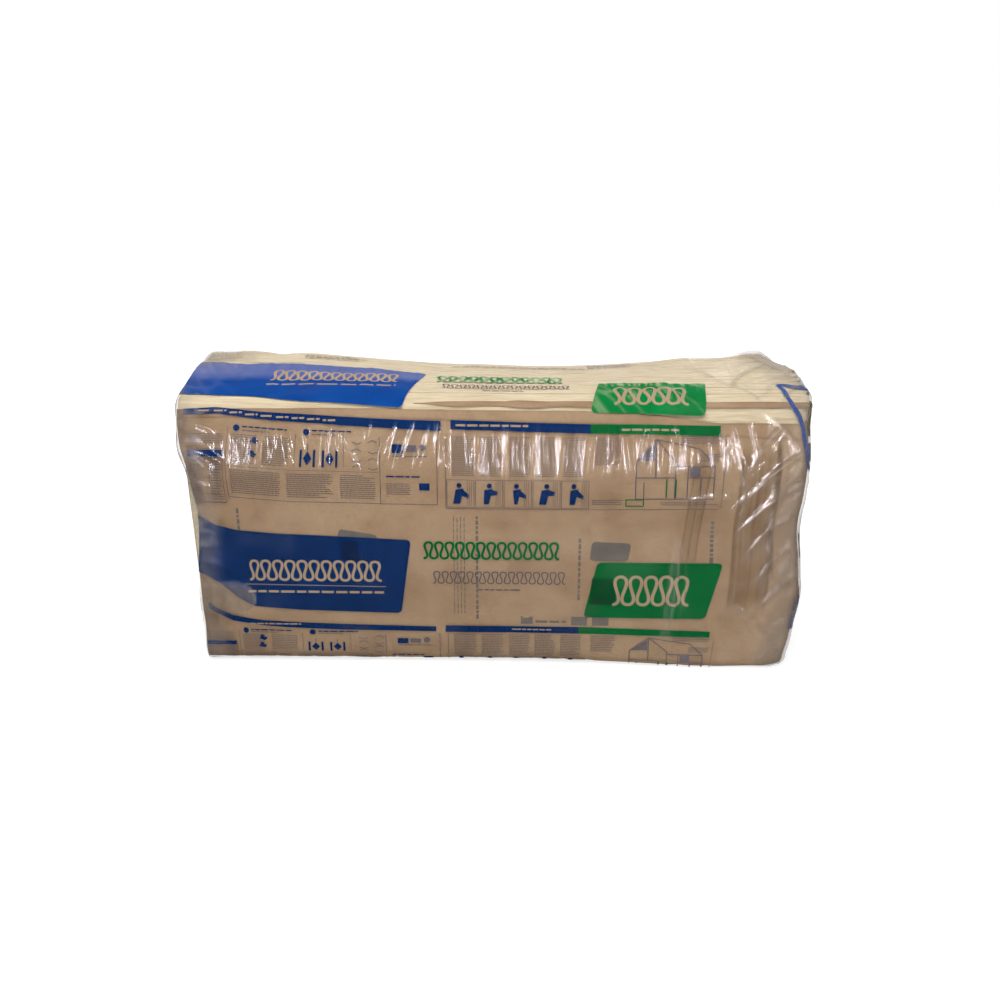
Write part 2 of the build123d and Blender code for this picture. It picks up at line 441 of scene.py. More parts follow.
def build_wool(n, middle, left, tip):
    """One folded blanket, as a rounded strip swept along its fold."""
    half = PITCH / 2
    leg = half * HALF_PACK - 4.6
    x, f, nx, nf = fold_path(middle, half * 0.49, left, tip - half * 0.51 * HALF_PACK, 105, 24, 105)
    steps = np.linspace(0, math.pi, 9)
    up = np.linspace(0, 1, 12)
    ring = [(-1.0, z, 0.0) for z in up[1:-1]] + [(-math.cos(a), 1.0, math.sin(a)) for a in steps]
    ring += [(1.0, z, 0.0) for z in up[::-1][1:-1]] + [(math.cos(a), 0.0, -math.sin(a)) for a in steps]
    across, zeta, bulge = (np.array([q[k] for q in ring])[None, :] for k in range(3))
    xs, fs, nxs, nfs = (v[:, None] for v in (x, f, nx, nf))
    spread = 1 + 0.22 * smooth(0.95, 1.0, zeta) * (1 - 0.6 * np.abs(bulge))
    px = xs + nxs * across * leg / 2 * spread
    pf = fs + nfs * across * (leg / 2 / HALF_PACK) * spread
    rough = fbm(xs / 38 + across * 0.6, fs * 9 + across * 0.7, 300 + n, 3)
    lift = np.sign(bulge) * (np.abs(bulge) - 1) * 1.9 + bulge * 0.4 * rough
    _, y, z = pack_point(px, np.clip(pf, -1, 1), zeta, FILM_GAP + 0.6)
    z = z + 2.0 * (2 * zeta - 1) + lift * (np.abs(bulge) > 0)
    rows, columns = px.shape
    faces = np.concatenate([grid_faces(rows, columns, wrap=True), cap_faces(rows, columns)])
    return make_mesh(f"glass_wool_blanket_{n + 1}", to_world(px, y, z), faces, WOOL, crease=55)


def flange_depth(x):
    """How far the turned edge reaches down the front sheet."""
    return np.interp(x, (-600, -118, 208, 436, 548, 600), (34, 38, 44, 66, 74, 76))


def sheet_share(x):
    """How much of its full height the front sheet reaches."""
    return 1 + np.interp(x, (180, 275, 358, 438, 600), (-1, -9, -16, -27, -30)) / SHEET


# Pleats of the front sheet: x, slant, and their lower and upper ends; then the painted shade of the bands between them
PLEATS = [
    (372, 0.10, 240, 430), (402, 0.12, 232, 440), (470, 0.02, 150, 440), (508, 0.03, 170, 470), (543, 0.05, 160, 460),
]
PLEAT_SHADES = ((372, 402, 0.11, 238, 460, 0.26), (470, 543, 0.04, 150, 480, 0.46), (548, 553, 0.0, 216, 505, 0.3))


def paper_push(x, zeta, n):
    """How far a facing stands out, and how thick it is: waves and creases, and pleats and the turned edges."""
    waves = 0.5 * fbm(x / 60, zeta * 9, 40 + n, 2)
    crease = 1.4 * ridge(x / 130 + zeta * 1.3, zeta * 3.1 - x / 260, 51 + n, 9)
    inner = np.minimum(waves - crease, 0.5) * smooth(0, 0.03, zeta) * smooth(0, 0.03, 1 - zeta)
    top, bottom = (1 - zeta) * SHEET, zeta * SHEET
    depth = flange_depth(x) - 15 - SHEET * (1 - sheet_share(x)) if n == 0 else 28.0
    turned = np.clip((depth - top) / 1.2 + 0.5, 0, 1) + np.clip((26 - bottom) / 1.2 + 0.5, 0, 1)
    pleats, z = 0.0, SHEET_LOW + bottom
    for x0, slant, low, high in PLEATS if n == 0 else ():
        edge = np.clip((x - x0 - slant * (z - low)) / 1.5 + 0.5, 0, 1) * (1 - smooth(x0 + 10, x0 + 26, x))
        pleats = pleats + 0.5 * edge * band(low - 20, low + 20, high - 20, high + 20, z)
    return inner, np.minimum(0.6 * turned + pleats, 0.9) + 0.5


# Long creases, most of them at the two loose ends, from place to place: x, girth, x, girth, height, half width
CREASES = [
    (468, 640, 560, 820, 3.0, 5.0), (430, 700, 520, 560, 2.0, 4.5), (520, 900, 585, 700, 2.8, 6.0),
    (384, 820, 440, 700, 2.2, 5.0), (330, 880, 430, 760, 2.0, 5.0), (500, 560, 590, 470, 2.2, 4.5),
    (498, 372, 606, 470, 2.6, 4.0), (486, 300, 606, 404, 2.8, 4.0), (500, 250, 606, 344, 2.6, 4.0),
    (524, 196, 606, 282, 2.4, 4.0), (498, 430, 560, 520, 2.2, 4.0), (536, 140, 604, 214, 2.2, 4.5),
    (470, 150, 600, 20, 2.0, 6.0), (552, 560, 604, 660, 2.4, 5.0), (462, 340, 520, 392, 1.6, 3.0),
    (540, 330, 600, 380, 1.6, 3.0), (470, 470, 486, 300, 1.4, 5.0), (543, 420, 530, 170, 1.6, 5.0),
    (360, 355, 470, 372, 1.2, 5.0), (368, 262, 350, 60, 1.8, 3.8), (382, 262, 364, 60, 1.6, 3.8),
    (-100, 470, -128, 340, 1.0, 4.0), (-590, 470, -520, 430, 1.8, 6.0), (-600, 520, -540, 505, 1.8, 5.0),
    (-606, 395, -540, 372, 1.6, 6.0), (-566, 800, -510, 700, 1.8, 6.0), (-605, 640, -560, 560, 1.8, 6.0),
    (-604, 230, -530, 205, 1.4, 6.0), (-600, 110, -500, 40, 1.6, 7.0), (-590, 30, -520, 90, 1.5, 6.0),
]


def crease_lines(s, p):
    """The summed height of the long creases."""
    total = 0.0
    for x0, p0, x1, p1, high, wide in CREASES:
        dx, dp = x1 - x0, p1 - p0
        size = math.hypot(dx, dp)
        t = ((s - x0) * dx + (p - p0) * dp) / size**2
        bend = 0.06 * size * np.sin(math.pi * np.clip(t, 0, 1))
        off = ((s - x0) * dp - (p - p0) * dx) / size + bend
        total = total + high * bump(0, wide, off) * smooth(-0.12, 0.2, t) * smooth(-0.12, 0.2, 1 - t)
    return total


def paper_shade(x, z):
    """Darker bands of the front sheet: its turned edge with a painted shadow line under it, a painted shadow along its
    top edge, painted shade in the pleats towards the right, along the long creases and at both ends, mottling, and a
    little darker towards the foot.
    """
    top = 564 - z
    edge, short = flange_depth(x) - top, SHEET * (1 - sheet_share(x))
    # A slightly darker turned edge, a painted shadow line under it, and a painted shadow along the sheet's top edge.
    shade = 0.03 * smooth(-1, 1, edge) + 0.42 * bump(0, 2.2, edge) + 0.3 * (1 - smooth(15, 20, top - short))
    # Painted shade in the pleats: darker bands between their folds and dark lines along them.
    for x0, x1, slant, low, high, deep in PLEAT_SHADES:
        xs = x - slant * (z - low)
        across = band(x0 - 2, x0 + 2, x1 - 2, x1 + 2, xs) * (1 + 0.4 * noise(xs / 5, z / 90, 3))
        lines = bump(x0, 2.0, xs) + bump(x1, 2.0, xs) + 0.7 * bump(x0 + (x1 - x0) * 0.5, 1.8, xs)
        shade = shade + band(low - 26, low + 12, high - 40, high + 12, z) * (deep * across + 0.42 * lines)
    # A painted shadow along one diagonal crease.
    dx, dz = -62.0, -93.0
    t = ((x + 200) * dx + (z - 385) * dz) / (dx * dx + dz * dz)
    off = ((x + 200) * dz - (z - 385) * dx) / math.hypot(dx, dz) + 4 * np.sin(3 * t)
    shade = shade + 0.2 * bump(0, 3.0, off) * smooth(0, 0.2, t) * smooth(0, 0.2, 1 - t)
    shade = shade + 0.16 * smooth(0.15, 1.0, fbm(x / 60, z / 45, 12, 3)) + 0.12 * ridge(x / 90 + z / 200, z / 70, 14, 7)
    # Painted shade at both ends, most at the left edge and the lower right end; the sheet is also a little darker
    # towards the foot.
    end_shade = 0.18 * smooth(540, 600, x) * (1 - 0.9 * smooth(380, 450, z)) + 0.6 * smooth(500, 596, -x)
    end_shade = end_shade + 0.5 * smooth(584, 600, -x) * smooth(330, 400, z)
    shade = shade + end_shade * (1 + 0.6 * fbm(x / 20, z / 26, 15, 2)) + 0.04 * (1 - smooth(0, 60, z))
    # Painted shadows beside the long creases, set off from them, and along slanting folds towards the right end.
    shade = shade + 0.34 * np.clip(crease_lines(x + 2, z - 5) / 2.6, 0, 1) * smooth(430, 490, x)
    shade = shade + 0.14 * ridge((x - 0.85 * z) / 26, (x + z) / 90, 81, 1.4) * smooth(520, 590, x)
    return np.clip(shade, 0, 1)


def beside_film(r, inset):
    """The front face's depth and height along a sheet that lies inside the film, by share of the sheet's height."""
    y, z, ny, nz = around(SHEET_LOW + r * SHEET)
    return y - ny * inset, z - nz * inset


def outer_sheet(x, f, r, push, weight, side):
    """A place on the first or last facing, which follows the film where its weight is 1."""
    y_film, z_film = beside_film(r * (sheet_share(x) if side < 0 else 1), FILM_GAP - push)
    _, y, z = pack_point(x, f, np.clip(r, 0, 1), FILM_GAP)
    z = weight * z_film + (1 - weight) * z
    depth = half_depth(z) - FILM_GAP
    return f * depth + weight * side * (-y_film + FRONT_SHARE * depth), z


def kraft_front(x, p, offset):
    """A place on the front sheet's outer side."""
    r = (np.asarray(p, float) - SHEET_LOW) / SHEET
    inner, outer = paper_push(x, r / sheet_share(x), 0)
    y, z = beside_film(r, FILM_GAP - (inner + outer + offset))
    return to_world(x, y, z)


def build_kraft(n, middle, left, tip):
    """One facing: a folded sheet of paper with its two edges turned back as stapling flanges."""
    first, last = n == 0, n == BATTS - 1
    half, counts = PITCH / 2 * PAPER_SHARE, (420 if first else 100, 28, 240 if last else 100)
    x, f, nx, nf = fold_path(middle, half, left - 1, tip, *counts)
    if first or last:
        heights = [np.linspace(0, 0.1, 12), np.linspace(0.12, 0.84, 27), np.linspace(0.85, 1.0, 24)]
    else:
        heights = [np.linspace(0, 0.05, 6), np.linspace(0.052, 0.948, 16), np.linspace(0.95, 1.0, 6)]
    zeta = np.concatenate(heights)[None, :]
    xs, fs, nxs, nfs = (v[:, None] for v in (x, f, nx, nf))
    inner_push, thick = paper_push(xs, zeta, n)
    side = -1 if first else 1
    weight = np.clip((1 + side * nfs) / 2, 0, 1) if first or last else 0 * nfs
    layers = []
    for push in (inner_push, inner_push + thick):
        px, pf = xs + nxs * push, fs + nfs * push * (1 - weight) / HALF_PACK
        if first or last:
            y, z = outer_sheet(px, pf, zeta, push, weight, side)
        else:
            _, y, z = pack_point(px, pf, zeta, FILM_GAP)
            seen = smooth(0.25, 0.7, noise(xs / 110, fs * 7, 70 + n))
            z = z - (5.0 * (1 - seen) - 0.4) * (smooth(0.95, 1.0, zeta) - smooth(0.95, 1.0, 1 - zeta))
        layers.append(to_world(px, y, z))
    ring = np.concatenate([layers[1], layers[0][:, ::-1]], 1)
    rows, columns = ring.shape[:2]
    faces = np.concatenate([grid_faces(rows, columns, wrap=True), cap_faces(rows, columns)])
    obj = make_mesh(f"kraft_facing_sheet_{n + 1}", ring, faces, KRAFT, crease=55)
    if first:
        z = SHEET_LOW + zeta * sheet_share(xs) * SHEET
        behind = 0.1 + 0.2 * smooth(0.0, 1.0, fbm(xs / 50, z / 40, 16, 2))
        shade = np.where(nfs > -0.5, behind, paper_shade(xs, z))
    else:
        shade = 0.16 * smooth(0.15, 1.0, fbm(xs / 60, (10 + zeta * 556) / 45, 12 + n, 3))
        shade = shade + 0.3 * (smooth(0.93, 0.95, zeta) + 1 - smooth(0.05, 0.07, zeta))
    set_attribute(obj, "shade", np.concatenate([shade, shade[:, ::-1]], 1))
    return obj


def build_paper_edge():
    """The first facing's other edge, lying along the top front corner."""
    u, v = np.linspace(0, 1, 260)[:, None], np.linspace(0, 1, 9)[None, :]
    x = -152 + u * (602 + 152)
    tuck = 8 * (1 - smooth(-150, -60, x))
    low = 557 + 2.5 * noise(x / 70, 0, 21) + tuck
    high = 577 + 3.0 * noise(x / 55, 0, 22) - tuck - 4 * smooth(300, 600, x)
    y, z, ny, nz = around(low + v * (high - low))
    inset = 2.4 + 0.5 * noise(x / 24, v * 2, 23)
    obj = make_mesh("kraft_edge_strip", to_world(x, y - ny * inset, z - nz * inset), grid_faces(260, 9), KRAFT)
    set_attribute(obj, "shade", 0.30 + 0.18 * noise(x / 40, v * 3, 24) + 0.35 * (bump(0, 0.12, v) + bump(1, 0.12, v)))
    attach(obj, "root")
    return obj


edge_strip = build_paper_edge()
for index, (middle, left, tip) in enumerate(batt_places()):
    wool = build_wool(index, middle, left, tip)
    paper = build_kraft(index, middle, left, tip)
    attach(wool, "root")
    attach(paper, "root")
    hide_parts(f"glass_wool_{index + 1}")
    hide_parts(f"kraft_facing_{index + 1}")

# ---------------------------------------------------------------- the film
# Radii of the two rims, the film's run down each end, and how far the ends' seams stay off the foot and the top
RIM_RIGHT, RIM_LEFT = 16.0, 5.0
END_RUN = 175.0
SEAM_INSET = 52.0
P_START = P_FB - GIRTH if P_FB > GIRTH / 2 else P_FB

# Tension streaks over the front top edge: x, middle girth, half length, height, half width, slant
STREAKS = [
    (-423, 492, 34, 1.9, 5.0, 0.02), (-392, 470, 42, 2.2, 5.5, -0.12), (-321, 478, 56, 2.3, 5.5, 0.08),
    (-295, 492, 30, 1.4, 4.5, 0.0), (-272, 452, 40, 2.3, 5.5, -0.25), (-206, 470, 52, 2.4, 6.0, 0.30),
    (-172, 474, 50, 1.9, 5.0, 0.34), (-140, 470, 44, 2.1, 5.0, 0.30), (-92, 470, 85, 2.6, 6.0, 0.02),
    (-48, 470, 60, 1.9, 7.0, -0.05), (-24, 480, 46, 1.4, 4.5, 0.04), (6, 472, 60, 1.9, 6.0, 0.0),
    (48, 462, 56, 2.3, 8.0, 0.05), (72, 480, 44, 1.5, 5.0, 0.0), (106, 470, 60, 2.4, 6.5, -0.08),
    (148, 468, 62, 2.4, 7.5, 0.10), (190, 470, 70, 1.8, 5.0, 0.16), (238, 482, 46, 2.2, 7.0, 0.0),
    (262, 470, 50, 1.6, 5.0, -0.1), (332, 462, 50, 1.7, 6.0, 0.12), (402, 450, 36, 3.2, 12.0, 0.0),
    (430, 440, 60, 1.8, 5.0, -0.12), (468, 512, 60, 2.2, 5.0, -0.35), (505, 500, 70, 2.1, 5.5, -0.3),
    (-356, 520, 60, 1.2, 5.0, 0.0), (-110, 560, 70, 1.7, 5.5, 0.05), (-236, 540, 60, 1.2, 5.0, 0.1),
    (24, 560, 60, 1.2, 5.0, 0.0), (86, 556, 60, 1.0, 5.0, 0.0), (300, 560, 90, 2.0, 6.5, 0.12),
    (352, 590, 90, 2.4, 7.0, -0.1), (246, 590, 80, 1.6, 5.5, 0.1),
]


def along(s):
    """A place s mm along the film, over its rims and down its ends: x, inset of the rim, share closed."""
    s = np.asarray(s, float)
    rim = np.where(s > 0, RIM_RIGHT, RIM_LEFT)
    flat = HALF_L - rim
    beyond = np.abs(s) - flat
    angle = np.clip(beyond / rim, 0, math.pi / 2)
    x = np.sign(s) * (np.minimum(np.abs(s), flat) + rim * np.sin(angle))
    shut = np.clip((beyond - rim * math.pi / 2) / END_RUN, 0, 1)
    return x, rim * (1 - np.cos(angle)), shut


def unrolled(p):
    """Girth counted on from the foot of the front."""
    return (p - P_START) % GIRTH + P_START


def tongue_end(q):
    """Where the doubled strip of film at the left end stops, along the bag."""
    return -482 - 34 * (np.abs(q - 148) / 34) ** 2.6


def film_relief(s, p):
    """How far the film stands off the smooth bag, outwards."""
    s, p = np.broadcast_arrays(np.asarray(s, float), np.asarray(p, float))
    q = unrolled(p)
    d = 0.35 + 0.28 * fbm(s / 32, q / 85, 11, 2)
    for x0, p0, half, high, wide, slant in STREAKS:
        near = bump(0, wide, s - x0 - slant * (q - p0) - 3.0 * noise(q / 60, 0, int(x0) & 63))
        d = d + 1.25 * high * near * np.exp(-(np.abs(q - p0) / half) ** 2.6)
    pulled = ridge(s / 21 + 0.35 * noise(s / 160, q / 120, 19), q / 240, 23, 2.6)
    behind = ridge(s / 27 + 0.3 * noise(s / 150, q / 130, 29), q / 260, 33, 2.4)
    d = d + 0.9 * pulled * band(545, 640, 880, 960, q) + 1.3 * behind * band(1000, 1060, 1330, 1430, q)
    d = d + 0.8 * ridge(s / 60, q / 130, 45, 3.0) * smooth(1500, 1560, q) + crease_lines(s, q)
    loose = 1.5 * ridge((s - 0.85 * q) / 42, (s + q) / 190, 37, 3.2) + 0.3 * fbm(s / 24, q / 30, 41, 2)
    d = d + smooth(400, 590, s) * loose
    loose = 1.3 * ridge((s + 0.5 * q) / 42, (s - q) / 140, 38, 2.2) + 0.5 * fbm(s / 24, q / 28, 43, 3) + 0.3
    d = d + smooth(470, 600, -s) * loose
    d = d + 2 * bump(392, 42, s) * bump(905, 50, q) + 3 * bump(546, 32, s) * bump(900, 52, q)
    d = d - 4 * bump(600, 30, s) * bump(540, 24, q) - 4 * bump(604, 30, s) * bump(118, 12, q)
    d = d - 7 * smooth(572, 604, s) * bump(915, 70, q) + 3 * smooth(590, 620, s) * bump(690, 70, q)
    d = d - 5 * bump(-604, 26, s) * bump(516, 14, q) + 4 * bump(-600, 40, s) * bump(455, 34, q)
    d = d + 1.6 * smooth(-650, -600, s) * (1 - smooth(-4, 3, s - tongue_end(q))) * band(112, 120, 176, 184, q)
    ends = smooth(HALF_L + 6, HALF_L + 60, np.abs(s))
    gather = 3.2 * ridge(q / 34, s / 260, 57, 2.0) + 1.6 * fbm(s / 38, q / 26, 59, 3) + 0.6
    return np.maximum(d * (1 - 0.8 * ends) + gather * ends, -0.25)


def film_surface(s, p, offset=0.0):
    """The film's point at s along and p around, in world metres."""
    s, p = np.broadcast_arrays(np.asarray(s, float), np.asarray(p, float))
    x, inset, shut = along(s)
    y, z, ny, nz = around(p)
    off = film_relief(s, p) + offset
    rim = np.where(s > 0, RIM_RIGHT, RIM_LEFT)
    on_end = np.where(shut > 0, 1.0, 0.7 * np.clip((np.abs(x) - (HALF_L - rim)) / rim, 0, 1))
    side = off * np.sqrt(1 - on_end**2) - inset
    py, pz = y + ny * side, z + nz * side
    seam_z = SEAM_INSET + (pz / HEIGHT) * (HEIGHT - 2 * SEAM_INSET)
    closing = shut * (1 + 0.04 * noise(p / 40, s / 90, 71) * (1 - shut))
    return to_world(x + np.sign(s) * off * on_end, py * (1 - closing), pz * (1 - closing) + seam_z * closing)


def film_haze_and_shade(s, p):
    """Where the film is doubled, crushed or scuffed, and so milkier; its darker veil at the crumpled ends, the left rim
    and the creases towards the right is painted shade.
    """
    q, ends, upper = unrolled(p), smooth(HALF_L, HALF_L + 30, np.abs(s)), smooth(540, 620, unrolled(p))
    right = smooth(520, 606, s) * (1 - 0.55 * band(380, 450, 600, 680, q))
    left = smooth(545, 606, -s) * (1 - 0.6 * band(560, 600, 760, 800, q))
    # Both loose ends: milkier crumpled film, with a darker veil that is painted shade of its wrinkles.
    haze_and_shade = 0.34 * right * (0.45 + 0.55 * ridge((s - 0.85 * q) / 26, (s + q) / 90, 81, 1.4))
    haze_and_shade = haze_and_shade + 0.17 * left * (0.6 + 0.4 * ridge((s + 0.6 * q) / 30, (s - q) / 110, 82, 1.4))
    haze_and_shade = haze_and_shade * (1 - 0.8 * ends) + 0.09 * ends
    # slanting folds and long creases towards the right, and the crushed corners of the top; the darker veil along the
    # long creases is painted shade
    folds = ridge((s - 0.85 * q) / 30, (s + q) / 110, 83, 2.0)
    haze_and_shade = haze_and_shade + (0.07 + 0.1 * upper) * smooth(400, 560, s) * folds
    crushed = 0.6 + 0.4 * ridge(s / 26 + q / 60, q / 50, 91, 1.6)
    haze_and_shade = haze_and_shade + 0.5 * bump(-570, 60, s) * bump(850, 66, q) * crushed + 0.22 * bump(560, 50, s) * bump(860, 70, q)
    haze_and_shade = haze_and_shade + (0.1 + 0.14 * upper) * np.clip(crease_lines(s, q) / 2.5, 0, 1) * smooth(330, 480, s)
    haze_and_shade = haze_and_shade + 0.14 * bump(590, 40, s) * bump(60, 60, q)
    # the doubled strip at the left end and its edge
    past = s - tongue_end(q)
    doubled = smooth(-650, -600, s) * (1 - smooth(-2, 2, past)) * band(114, 118, 180, 184, q)
    haze_and_shade = haze_and_shade + doubled * (0.16 + 0.16 * ridge(s / 34, q / 8, 84, 1.5))
    haze_and_shade = haze_and_shade + 0.3 * bump(0, 2.2, past) * band(110, 118, 178, 184, q)
    # milky edges of both ends, the left one dark enough to be painted shade, and an upright band on the front
    haze_and_shade = haze_and_shade + 0.8 * bump(-612, 6, s) * band(230, 330, 600, 660, q) * (0.75 + 0.35 * noise(q / 14, 0, 86))
    haze_and_shade = haze_and_shade + 0.3 * bump(613, 10, s) * band(40, 120, 760, 900, q)
    line = s - 365 - (q - 235) * 0.09
    tape = 0.035 * (1 - smooth(6, 8, np.abs(line))) + 0.12 * (bump(-7, 1.8, line) + bump(7, 1.8, line))
    haze_and_shade = haze_and_shade + tape * band(55, 80, 262, 290, q)
    haze_and_shade = haze_and_shade + 0.012 * smooth(0.2, 0.9, fbm(s / 90, q / 70, 85, 3)) + 0.03 * band(700, 860, 930, 1000, q)
    gathers = 0.3 * ridge(q / 34, s / 260, 57, 2.0) + 0.12 * ridge(q / 90 + s / 160, s / 60, 87, 3.0)
    haze_and_shade = haze_and_shade + smooth(HALF_L + 10, HALF_L + 50, np.abs(s)) * gathers
    clear = band(HALF_L - 8, HALF_L + 2, HALF_L + 24, HALF_L + 44, -s) * band(110, 190, 380, 430, q)
    return haze_and_shade * (1 - 0.9 * clear)


def down_end(rim, count):
    """Places along the film from the flat, over a rim and down its end."""
    turn = rim * math.pi / 2
    run = np.concatenate([np.linspace(0, turn, count)[1:], turn + END_RUN * np.linspace(0, 1, 22)[1:]])
    return HALF_L - rim + run


body = np.linspace(-HALF_L + RIM_LEFT, HALF_L - RIM_RIGHT, 372)
cols_s = np.concatenate([-down_end(RIM_LEFT, 6)[::-1], body, down_end(RIM_RIGHT, 9)])[:, None]
stops = (P_START, 60, 400, 640, P_BT + 30, P_BB)
spans = [np.linspace(a, b, n, endpoint=False) for a, b, n in zip(stops, stops[1:], (14, 50, 58, 46, 38))]
rows_p = np.concatenate(spans + [np.linspace(P_BB, P_START + GIRTH, 17)])[None, :]
film_points = film_surface(cols_s, rows_p)
film = make_mesh("film_sleeve", film_points, grid_faces(*film_points.shape[:2]), FILM)
set_attribute(film, "haze_and_shade", film_haze_and_shade(*np.broadcast_arrays(cols_s, rows_p)))
set_attribute(film, "pale", smooth(HALF_L + 16, HALF_L + 44, np.abs(cols_s)) + 0 * rows_p)
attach(film, "root")
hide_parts("film_bag")


def seal_fin(name, side):
    """The heat-sealed fin where an end's edges meet, pressed flat and crimped across."""
    up, across = np.linspace(0, 1, 150)[:, None], np.linspace(0, 1, 14)[None, :]
    z = 46 + up * (HEIGHT - 96) + 5 * noise(up * 7, across * 1.5, 91)
    ribs = np.sin(up * 520) * smooth(0.2, 0.3, across)
    y = -3 + across * (30 + 5 * noise(up * 6, 0, 92 + side))
    wander = 5.0 * across * noise(up * 9, across * 2, 95 + side)
    x = side * (HALF_L + 5.5 + 3.0 * across + 0.7 * ribs * smooth(0.0, 0.1, 1 - across) + wander)
    obj = make_mesh(name, to_world(x, y, z), grid_faces(150, 14), FILM)
    set_attribute(obj, "haze_and_shade", 0.34 + 0.1 * noise(up * 30, across * 3, 97) + 0.08 * ribs)
    set_attribute(obj, "pale", 1 + 0 * up + 0 * across)
    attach(obj, "root")


seal_fin("seal_fin_left", -1)
seal_fin("seal_fin_right", 1)

# ---------------------------------------------------------------- the print
# Depth of the ink under the film, of what lies over other ink, and of the pale marks; and where the print stops
INK_DEPTH = -0.5
OVER_DEPTH, KNOCKOUT_DEPTH = INK_DEPTH + 0.12, INK_DEPTH + 0.2
PRINT_FOOT = -14


class Print:
    """Small areas of one ink on the film, gathered in one mesh; x along the bag, p its girth."""

    def __init__(self, turn=False):
        self.points, self.faces, self.count, self.turn, self.lean = [], [], 0, turn, False

    def grid(self, x, p):
        """Adds a grid of places with its faces outwards."""
        x, p = np.broadcast_arrays(x, p)
        rows, columns = x.shape
        if self.lean:
            inwards = np.interp(x, (-520, -216), (20, 0)) * (1 - smooth(380, 520, p))
            up = np.interp(x, (-600, -516, -508, -380, -216), (2, 0, 14, 4, 0)) * (1 - 0.7 * (p < 200))
            x, p = x - inwards, p + up
        self.points.append(np.stack([x.ravel(), p.ravel()], 1))
        self.faces.append(grid_faces(rows, columns) + self.count)
        self.count += rows * columns

    def quad(self, corners, step=4.0):
        (ax, ap), (bx, bp), (cx, cp), (dx, dp) = corners
        n = max(1, math.ceil(math.hypot(bx - ax, bp - ap) / step))
        m = max(1, math.ceil(math.hypot(dx - ax, dp - ap) / step))
        u, v = np.linspace(0, 1, n + 1)[:, None], np.linspace(0, 1, m + 1)[None, :]
        x = (ax * (1 - u) + bx * u) * (1 - v) + (dx * (1 - u) + cx * u) * v
        self.grid(x, (ap * (1 - u) + bp * u) * (1 - v) + (dp * (1 - u) + cp * u) * v)

    def bar(self, x0, x1, p0, p1):
        self.quad([(x0, p0), (x1, p0), (x1, p1), (x0, p1)])

    def line(self, x0, p0, x1, p1, width=1.3):
        dx, dp = x1 - x0, p1 - p0
        size = math.hypot(dx, dp)
        ox, op = -dp / size * width / 2, dx / size * width / 2
        self.quad([(x0 - ox, p0 - op), (x1 - ox, p1 - op), (x1 + ox, p1 + op), (x0 + ox, p0 + op)])

    def frame(self, x0, x1, p0, p1, width=1.2):
        for a, b, c, d in ((x0, p0, x1, p0), (x1, p0, x1, p1), (x1, p1, x0, p1), (x0, p1, x0, p0)):
            self.line(a, b, c, d, width)

    def disc(self, x, p, radius):
        u, v = np.linspace(-1, 1, 7)[:, None], np.linspace(-1, 1, 7)[None, :]
        self.grid(x + radius * u * np.sqrt(1 - v * v / 2), p + radius * v * np.sqrt(1 - u * u / 2))

    def stroke(self, xs, ps, width):
        """A band of even width along a line of places."""
        xs, ps = np.asarray(xs, float), np.asarray(ps, float)
        tx, tp = np.gradient(xs), np.gradient(ps)
        size = np.hypot(tx, tp)
        side = np.linspace(-0.5, 0.5, 3)[None, :] * width
        self.grid(xs[:, None] + (tp / size)[:, None] * side, ps[:, None] - (tx / size)[:, None] * side)

    def words(self, x0, x1, p, height, seed):
        """One row of plain dashes of uneven length in the place of a line of writing."""
        x, k = x0, 0
        while x < x1 - 2:
            size = (3.2 + 4.5 * (1 + float(noise(k * 1.37, seed * 0.77, 5)))) * height / 1.8
            end = min(x + size, x1)
            self.bar(x, end, p - height / 2, p + height / 2)
            x, k = end + height * 0.9, k + 1

    def text(self, x0, x1, p0, p1, pitch=4.2, height=1.35, seed=0, ragged=0.35):
        rows = int((p1 - p0) / pitch)
        for n in range(rows):
            short = ragged * (x1 - x0) * max(0.0, float(noise(n * 0.9, seed + 0.5, 8)))
            self.words(x0, x1 - short, p1 - (n + 0.5) * pitch, height, seed * 31 + n)

    def banner(self, left, right, bottom, top, radius, columns, rows):
        """A large area with rounded corners. Left and right are an x and a slant, bottom and top are edges along x."""
        v = 0.5 - 0.5 * np.cos(np.linspace(0, math.pi, rows))
        bottom, top = (edge if callable(edge) else curve(*edge) for edge in (bottom, top))
        middle = right[0] + right[1] * 0.5
        gap = np.minimum(v, 1 - v) * float(top(middle) - bottom(middle))
        cut = np.where(gap < radius, radius - np.sqrt(np.maximum(radius**2 - (radius - gap) ** 2, 0)), 0)
        u = np.linspace(0, 1, columns)[:, None]
        x = (left[0] + left[1] * v + cut) * (1 - u) + (right[0] + right[1] * v - cut) * u
        low = bottom(x)
        self.grid(x, low + v * (top(x) - low))

    def loops(self, x0, x1, p0, p1, count, width):
        """A drawn wadding pattern: one line that loops up and down between two levels."""
        t = np.linspace(0, 1, count * 28 + 1)
        turn = 2 * math.pi * count * t
        pitch = (x1 - x0) / count
        xs = x0 + pitch * 0.3 + (x1 - x0 - 0.6 * pitch) * t + 0.22 * pitch * np.sin(2 * turn)
        self.stroke(xs, (p0 + p1) / 2 - (p1 - p0) / 2 * np.cos(turn), width)

    def build(self, name, material, slot="film_bag", surface=film_surface, depth=INK_DEPTH, wear_and_sheen=None):
        places = np.concatenate(self.points)
        x, p = places[:, 0], places[:, 1]
        faces = np.concatenate(self.faces)
        faces = faces[(p[faces] > PRINT_FOOT).all(1)]
        if self.turn:
            x, p = -x, P_BB + P_FB - p
        obj = make_mesh(name, surface(x, p, depth), faces, material)
        if wear_and_sheen:
            set_attribute(obj, "wear_and_sheen", np.clip(wear_and_sheen(x, p), 0, 1))
        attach(obj, "root")


def curve(*places):
    """An edge through places of x and girth."""
    xs, ps = zip(*places)
    return lambda x: np.interp(x, xs, ps)


